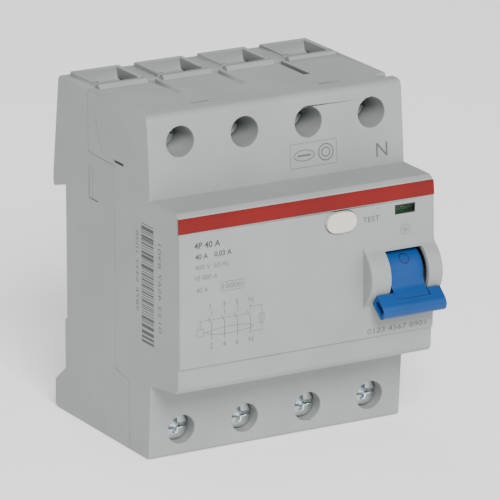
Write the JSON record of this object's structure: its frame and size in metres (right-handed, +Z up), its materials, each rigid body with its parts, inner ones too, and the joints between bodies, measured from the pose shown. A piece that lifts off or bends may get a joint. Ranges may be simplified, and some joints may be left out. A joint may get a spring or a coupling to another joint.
{
  "type": "residual current device",
  "caption": "Rail-mounted residual current device with a blue toggle, oval test button, indicator window, red stripe and screw terminals above and below.",
  "frame": {"origin": "middle of the rail seat: seat plane y = 0, middle of the rail's height z = 0, middle of the width x = 0", "axes": "+X to the right along the rail seen from the front, -Y out of the front towards the user, +Y into the rail, +Z up"},
  "size_m": [0.07, 0.071, 0.0861],
  "materials": {
    "grey_housing": "fine moulded texture",
    "red_stripe": "smooth",
    "clear_window": "clear",
    "blue_toggle": "fine moulded texture",
    "zinc_steel": "zinc plated",
    "spring_steel": "drawn wire",
    "black_plastic": "moulded",
    "flag_green": "printed in two colours",
    "copper": "stamped copper",
    "bare_steel": "bright",
    "core_resin": "epoxy coated",
    "wire_sheath": "satin",
    "ivory_button": "moulded",
    "resistor_body": "lacquered",
    "green_board": "solder mask"
  },
  "bodies": {
    "housing": {"base_housing": "grey_housing", "front_cover": "grey_housing", "front_stripe": "red_stripe", "indicator_window": "clear_window", "toggle_pin": "zinc_steel", "toggle_spring": "spring_steel", "frame_left": "zinc_steel", "frame_right": "zinc_steel", "frame_pins": "zinc_steel", "upper_bar_1": "copper", "upper_bar_2": "copper", "upper_bar_3": "copper", "upper_bar_4": "copper", "lower_bar_1": "copper", "lower_bar_2": "copper", "lower_bar_3": "copper", "lower_bar_4": "copper", "arc_plates": "bare_steel", "toroid_core": "core_resin", "toroid_winding": "copper", "primary_wires": "wire_sheath", "relay_yoke": "bare_steel", "relay_coil": "copper", "test_spring": "spring_steel", "test_contact": "copper", "test_resistor": "resistor_body", "circuit_board": "green_board", "clip_spring_left": "spring_steel", "clip_spring_right": "spring_steel", "housing_screws": "zinc_steel"},
    "toggle": {"toggle_lever": "blue_toggle"},
    "link": {"link_rod": "zinc_steel"},
    "carrier": {"contact_carrier": "black_plastic", "moving_contact_1": "copper", "moving_contact_2": "copper", "moving_contact_3": "copper", "moving_contact_4": "copper"},
    "latch": {"latch_lever": "zinc_steel"},
    "trip": {"trip_lever": "black_plastic"},
    "armature": {"relay_armature": "bare_steel"},
    "flag": {"indicator_flag": "flag_green"},
    "button": {"test_button": "ivory_button"},
    "clip_left": {"din_clip_left": "black_plastic"},
    "clip_right": {"din_clip_right": "black_plastic"},
    "screw_upper_1_body": {"screw_upper_1": "zinc_steel"},
    "cage_upper_1_body": {"cage_upper_1": "zinc_steel"},
    "screw_upper_2_body": {"screw_upper_2": "zinc_steel"},
    "cage_upper_2_body": {"cage_upper_2": "zinc_steel"},
    "screw_upper_3_body": {"screw_upper_3": "zinc_steel"},
    "cage_upper_3_body": {"cage_upper_3": "zinc_steel"},
    "screw_upper_4_body": {"screw_upper_4": "zinc_steel"},
    "cage_upper_4_body": {"cage_upper_4": "zinc_steel"},
    "screw_lower_1_body": {"screw_lower_1": "zinc_steel"},
    "cage_lower_1_body": {"cage_lower_1": "zinc_steel"},
    "screw_lower_2_body": {"screw_lower_2": "zinc_steel"},
    "cage_lower_2_body": {"cage_lower_2": "zinc_steel"},
    "screw_lower_3_body": {"screw_lower_3": "zinc_steel"},
    "cage_lower_3_body": {"cage_lower_3": "zinc_steel"},
    "screw_lower_4_body": {"screw_lower_4": "zinc_steel"},
    "cage_lower_4_body": {"cage_lower_4": "zinc_steel"}
  },
  "joints": [
    {"name": "toggle_hinge", "type": "hinge", "parent": "housing", "child": "toggle", "pos_m": [0.0258, -0.0548, 0.0018], "axis": [-1, 0, 0], "range_deg": [0, 76], "deforming": ["toggle_spring"]},
    {"name": "link_pivot", "type": "hinge", "parent": "toggle", "child": "link", "pos_m": [0.02265, -0.04889, 0.00642], "axis": [1, 0, 0], "range_deg": [0, 93.07]},
    {"name": "carrier_hinge", "type": "hinge", "parent": "housing", "child": "carrier", "pos_m": [0, -0.017, 0.0018], "axis": [1, 0, 0], "range_deg": [0, 15.01], "deforming": ["primary_wires"]},
    {"name": "flag_slide", "type": "slide", "parent": "housing", "child": "flag", "axis": [0, 0, 1], "range_m": [0, 0.00281]},
    {"name": "latch_hinge", "type": "hinge", "parent": "housing", "child": "latch", "pos_m": [0.0275, -0.034, 0.012], "axis": [1, 0, 0], "range_deg": [0, 10]},
    {"name": "trip_hinge", "type": "hinge", "parent": "housing", "child": "trip", "pos_m": [0, -0.038, -0.011], "axis": [-1, 0, 0], "range_deg": [0, 10.01]},
    {"name": "armature_slide", "type": "slide", "parent": "housing", "child": "armature", "axis": [0, 0, 1], "range_m": [0, 0.00121]},
    {"name": "test_button_slide", "type": "slide", "parent": "housing", "child": "button", "axis": [0, 1, 0], "range_m": [0, 0.0015], "stiffness_N_per_m": 400, "springref_m": -0.002, "deforming": ["test_spring"]},
    {"name": "clip_left_slide", "type": "slide", "parent": "housing", "child": "clip_left", "axis": [0, 0, -1], "range_m": [0, 0.0035], "stiffness_N_per_m": 900, "springref_m": -0.004, "deforming": ["clip_spring_left"]},
    {"name": "clip_right_slide", "type": "slide", "parent": "housing", "child": "clip_right", "axis": [0, 0, -1], "range_m": [0, 0.0035], "stiffness_N_per_m": 900, "springref_m": -0.004, "deforming": ["clip_spring_right"]},
    {"name": "screw_upper_1_turn", "type": "hinge", "parent": "housing", "child": "screw_upper_1_body", "pos_m": [-0.02625, -0.025, 0.0379], "axis": [0, 1, 0], "range_deg": [0, 2682]},
    {"name": "cage_upper_1_slide", "type": "slide", "parent": "housing", "child": "cage_upper_1_body", "axis": [0, -1, 0], "range_m": [0, 0.00595]},
    {"name": "screw_upper_2_turn", "type": "hinge", "parent": "housing", "child": "screw_upper_2_body", "pos_m": [-0.00875, -0.025, 0.0379], "axis": [0, 1, 0], "range_deg": [0, 2682]},
    {"name": "cage_upper_2_slide", "type": "slide", "parent": "housing", "child": "cage_upper_2_body", "axis": [0, -1, 0], "range_m": [0, 0.00595]},
    {"name": "screw_upper_3_turn", "type": "hinge", "parent": "housing", "child": "screw_upper_3_body", "pos_m": [0.00875, -0.025, 0.0379], "axis": [0, 1, 0], "range_deg": [0, 2682]},
    {"name": "cage_upper_3_slide", "type": "slide", "parent": "housing", "child": "cage_upper_3_body", "axis": [0, -1, 0], "range_m": [0, 0.00595]},
    {"name": "screw_upper_4_turn", "type": "hinge", "parent": "housing", "child": "screw_upper_4_body", "pos_m": [0.02625, -0.025, 0.0379], "axis": [0, 1, 0], "range_deg": [0, 2682]},
    {"name": "cage_upper_4_slide", "type": "slide", "parent": "housing", "child": "cage_upper_4_body", "axis": [0, -1, 0], "range_m": [0, 0.00595]},
    {"name": "screw_lower_1_turn", "type": "hinge", "parent": "housing", "child": "screw_lower_1_body", "pos_m": [-0.02625, -0.0309, -0.0336], "axis": [0, 1, 0], "range_deg": [0, 2682]},
    {"name": "cage_lower_1_slide", "type": "slide", "parent": "housing", "child": "cage_lower_1_body", "axis": [0, -1, 0], "range_m": [0, 0.00595]},
    {"name": "screw_lower_2_turn", "type": "hinge", "parent": "housing", "child": "screw_lower_2_body", "pos_m": [-0.00875, -0.0309, -0.0336], "axis": [0, 1, 0], "range_deg": [0, 2682]},
    {"name": "cage_lower_2_slide", "type": "slide", "parent": "housing", "child": "cage_lower_2_body", "axis": [0, -1, 0], "range_m": [0, 0.00595]},
    {"name": "screw_lower_3_turn", "type": "hinge", "parent": "housing", "child": "screw_lower_3_body", "pos_m": [0.00875, -0.0309, -0.0336], "axis": [0, 1, 0], "range_deg": [0, 2682]},
    {"name": "cage_lower_3_slide", "type": "slide", "parent": "housing", "child": "cage_lower_3_body", "axis": [0, -1, 0], "range_m": [0, 0.00595]},
    {"name": "screw_lower_4_turn", "type": "hinge", "parent": "housing", "child": "screw_lower_4_body", "pos_m": [0.02625, -0.0309, -0.0336], "axis": [0, 1, 0], "range_deg": [0, 2682]},
    {"name": "cage_lower_4_slide", "type": "slide", "parent": "housing", "child": "cage_lower_4_body", "axis": [0, -1, 0], "range_m": [0, 0.00595]}
  ],
  "couplings": [
    {"joint": "link_pivot", "follows": "toggle_hinge", "ratio": 1.2232},
    {"joint": "carrier_hinge", "follows": "toggle_hinge", "ratio": 0.19737},
    {"joint": "flag_slide", "follows": "toggle_hinge", "m_per_rad": 0.0021109},
    {"joint": "trip_hinge", "follows": "latch_hinge", "ratio": 1},
    {"joint": "armature_slide", "follows": "latch_hinge", "m_per_rad": 0.0068755},
    {"joint": "screw_upper_1_turn", "follows": "cage_upper_1_slide", "rad_per_m": 7854},
    {"joint": "screw_upper_2_turn", "follows": "cage_upper_2_slide", "rad_per_m": 7854},
    {"joint": "screw_upper_3_turn", "follows": "cage_upper_3_slide", "rad_per_m": 7854},
    {"joint": "screw_upper_4_turn", "follows": "cage_upper_4_slide", "rad_per_m": 7854},
    {"joint": "screw_lower_1_turn", "follows": "cage_lower_1_slide", "rad_per_m": 7854},
    {"joint": "screw_lower_2_turn", "follows": "cage_lower_2_slide", "rad_per_m": 7854},
    {"joint": "screw_lower_3_turn", "follows": "cage_lower_3_slide", "rad_per_m": 7854},
    {"joint": "screw_lower_4_turn", "follows": "cage_lower_4_slide", "rad_per_m": 7854}
  ]
}
